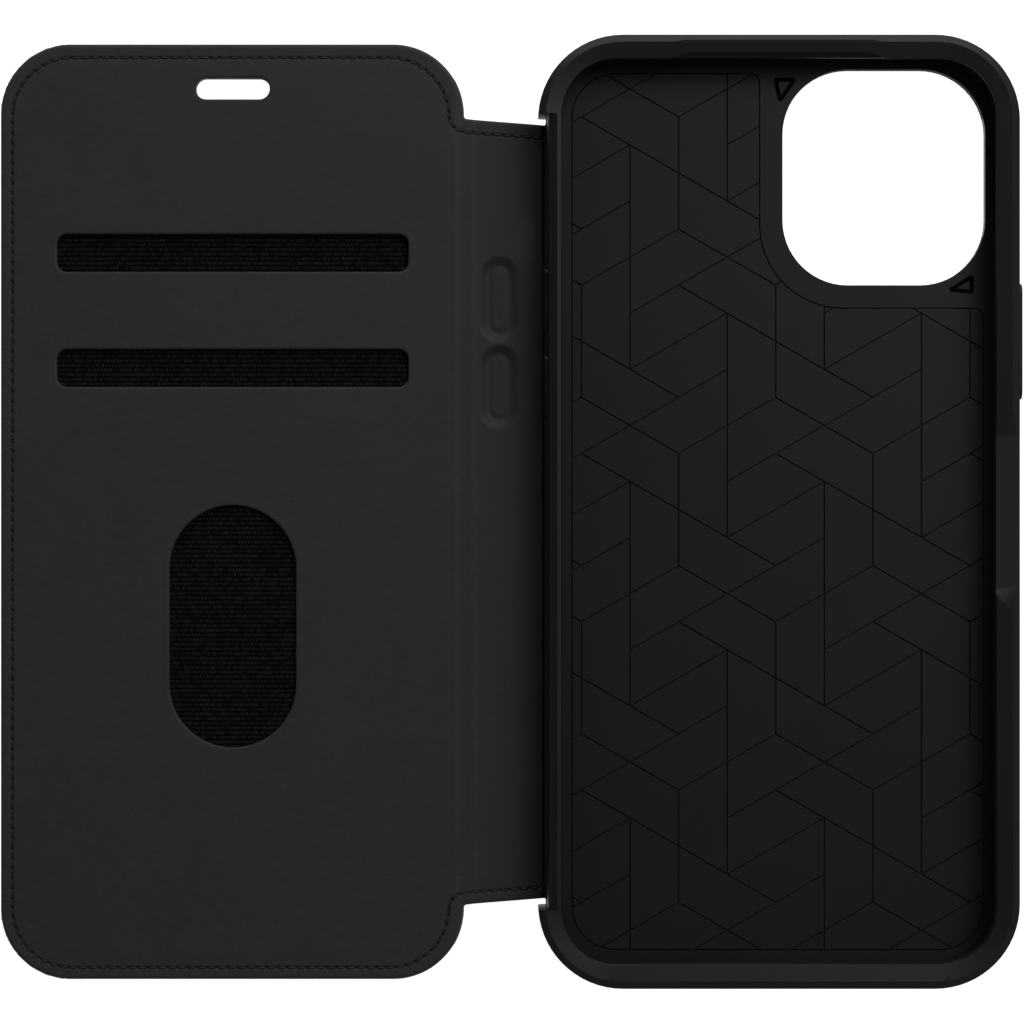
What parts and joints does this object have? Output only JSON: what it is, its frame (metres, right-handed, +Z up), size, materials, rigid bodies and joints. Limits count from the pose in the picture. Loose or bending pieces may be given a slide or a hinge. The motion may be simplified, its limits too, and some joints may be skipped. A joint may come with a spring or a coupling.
{
  "type": "phone wallet case",
  "caption": "Leather folio case with a hard phone tray, a folding spine and a cover with card slots and a thumb window.",
  "frame": {"origin": "centre of the open case's footprint, on the table", "axes": "+X from the cover across the spine to the tray, +Y towards the camera end of the phone, +Z up from the table, towards the phone's screen"},
  "size_m": [0.164, 0.1518, 0.0111],
  "materials": {
    "tray_plastic": "fine satin moulding",
    "button_plastic": "satin",
    "inner_leather": "fine grain, matt",
    "outer_leather": "fine grain, matt",
    "fabric": "plain weave",
    "thread": "twisted thread",
    "stiffener": "plain sheet",
    "magnet": "nickel plated",
    "film": "adhesive film"
  },
  "bodies": {
    "shell": {"phone_shell": "tray_plastic", "shell_magnet_upper": "magnet", "shell_magnet_lower": "magnet", "back_adhesive": "film", "back_leather": "outer_leather"},
    "power_cap": {"power_button": "button_plastic"},
    "volume_up_cap": {"volume_up_button": "button_plastic"},
    "volume_down_cap": {"volume_down_button": "button_plastic"},
    "spine": {"spine_outer_leather": "outer_leather", "spine_stiffener": "stiffener", "spine_lining": "inner_leather", "spine_stitching_upper": "thread", "spine_stitching_lower": "thread"},
    "cover": {"cover_outer_leather": "outer_leather", "cover_board": "stiffener", "cover_magnet_upper": "magnet", "cover_magnet_lower": "magnet", "pocket_backing": "fabric", "pocket_divider": "fabric", "cover_inner_leather": "inner_leather", "cover_stitching": "thread"}
  },
  "joints": [
    {"name": "spine_fold", "type": "hinge", "parent": "shell", "child": "spine", "pos_m": [0.00562, 0, 0.0006], "axis": [0, 1, 0], "range_deg": [-90, 90]},
    {"name": "cover_fold", "type": "hinge", "parent": "spine", "child": "cover", "pos_m": [-0.00698, 0, 0.0006], "axis": [0, 1, 0], "range_deg": [-90, 90]},
    {"name": "power_press", "type": "slide", "parent": "shell", "child": "power_cap", "axis": [-1, 0, 0], "range_m": [0, 0.0004], "stiffness_N_per_m": 2500},
    {"name": "volume_up_press", "type": "slide", "parent": "shell", "child": "volume_up_cap", "axis": [1, 0, 0], "range_m": [0, 0.0004], "stiffness_N_per_m": 2500},
    {"name": "volume_down_press", "type": "slide", "parent": "shell", "child": "volume_down_cap", "axis": [1, 0, 0], "range_m": [0, 0.0004], "stiffness_N_per_m": 2500}
  ]
}
